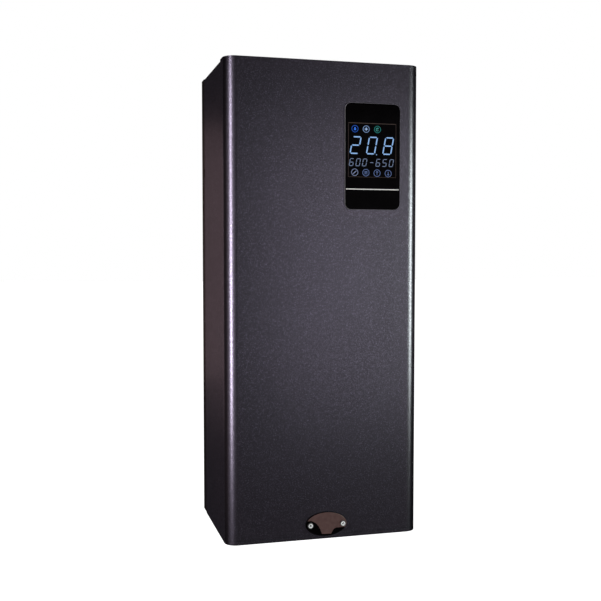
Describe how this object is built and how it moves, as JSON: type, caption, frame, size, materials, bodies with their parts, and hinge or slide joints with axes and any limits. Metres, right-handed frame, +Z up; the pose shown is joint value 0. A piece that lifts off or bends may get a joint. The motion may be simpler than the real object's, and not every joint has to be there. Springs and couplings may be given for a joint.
{
  "type": "electric heating boiler",
  "caption": "Wall-hung electric heating boiler in a tall sheet-steel case with a glossy touch panel, an oval badge and pipe stubs underneath.",
  "frame": {"origin": "middle of the back face, on the wall's plane", "axes": "+Z up, +Y into the wall, +X to the right seen from the front"},
  "size_m": [0.252, 0.1804, 0.625],
  "materials": {
    "cover_paint": "powder coat with fine metallic grain",
    "frame_paint": "dark powder coat",
    "zinc": "zinc plated",
    "stainless": "satin",
    "screw_steel": "bright",
    "panel_gloss": "high gloss",
    "badge_gloss": "high gloss",
    "badge_plate": "anodised, satin",
    "black_plastic": "moulded",
    "digit_plastic": "translucent",
    "board_green": "solder mask",
    "connector_green": "moulded",
    "component_dark": "moulded",
    "post_rubber": "conductive foam",
    "foam": "closed-cell foam",
    "brass": "machined",
    "copper": "drawn copper",
    "element_sheath": "heat tinted",
    "aluminium": "extruded",
    "knob_red": "moulded",
    "sensor_body": "turned",
    "cream_plastic": "moulded",
    "grey_plastic": "moulded",
    "light_plastic": "moulded",
    "earth_green": "moulded",
    "gland_plastic": "moulded",
    "seal_rubber": "moulded",
    "wire_black": "insulated",
    "wire_grey": "insulated",
    "wire_earth": "insulated"
  },
  "bodies": {
    "chassis": {"back_pan": "frame_paint", "top_plate": "frame_paint", "bottom_plate": "frame_paint", "frame_screws": "zinc", "rivet_nuts": "zinc", "tank_brackets": "zinc", "tank_bands": "zinc", "heater_tank": "stainless", "insulation_front": "foam", "insulation_rear": "foam", "element_plug": "brass", "plug_gasket": "seal_rubber", "heating_element_1": "element_sheath", "heating_element_2": "element_sheath", "heating_element_3": "element_sheath", "element_terminals": "zinc", "star_bridge": "copper", "supply_tee": "brass", "supply_pipe": "copper", "return_pipe": "copper", "return_tee": "brass", "lock_nuts": "brass", "air_vent_body": "brass", "safety_valve_body": "brass", "drain_spout": "stainless", "pressure_sensor": "sensor_body", "supply_probe": "brass", "triac_block": "aluminium", "triacs": "component_dark", "cutout_thermostat": "cream_plastic", "cutout_bulb": "copper", "din_rail": "zinc", "contactor": "light_plastic", "line_terminals": "grey_plastic", "earth_terminal": "earth_green", "power_board": "board_green", "board_standoffs": "zinc", "board_components": "component_dark", "board_connectors": "connector_green", "gland_bodies": "gland_plastic", "gland_domes": "gland_plastic", "gland_seals": "seal_rubber", "element_wires": "wire_black", "sensor_wire": "wire_grey", "ribbon_cable": "wire_grey", "earth_lead": "wire_earth", "control_leads": "wire_grey"},
    "cover": {"front_cover": "cover_paint", "control_overlay": "panel_gloss", "display_housing": "black_plastic", "display_board": "board_green", "digit_display": "digit_plastic", "touch_posts": "post_rubber", "display_nuts": "zinc", "oval_bezel": "badge_gloss", "badge_plate": "badge_plate", "cover_screws": "screw_steel"},
    "relief_knob": {"safety_valve_knob": "knob_red"},
    "button": {"reset_button": "knob_red"},
    "vent_cap": {"air_vent_cap": "black_plastic"}
  },
  "joints": [
    {"name": "cover_off", "type": "slide", "parent": "chassis", "child": "cover", "axis": [0, -1, 0], "range_m": [0, 0.25]},
    {"name": "relief_turn", "type": "hinge", "parent": "chassis", "child": "relief_knob", "pos_m": [-0.066, -0.15, -0.22], "axis": [0, -1, 0], "range_deg": [0, 90]},
    {"name": "reset_press", "type": "slide", "parent": "chassis", "child": "button", "axis": [0, 0, 1], "range_m": [0, 0.0015], "stiffness_N_per_m": 400},
    {"name": "vent_cap_turn", "type": "hinge", "parent": "chassis", "child": "vent_cap", "pos_m": [0.004, -0.078, 0.23], "axis": [0, 0, 1], "range_deg": [0, 360]}
  ]
}
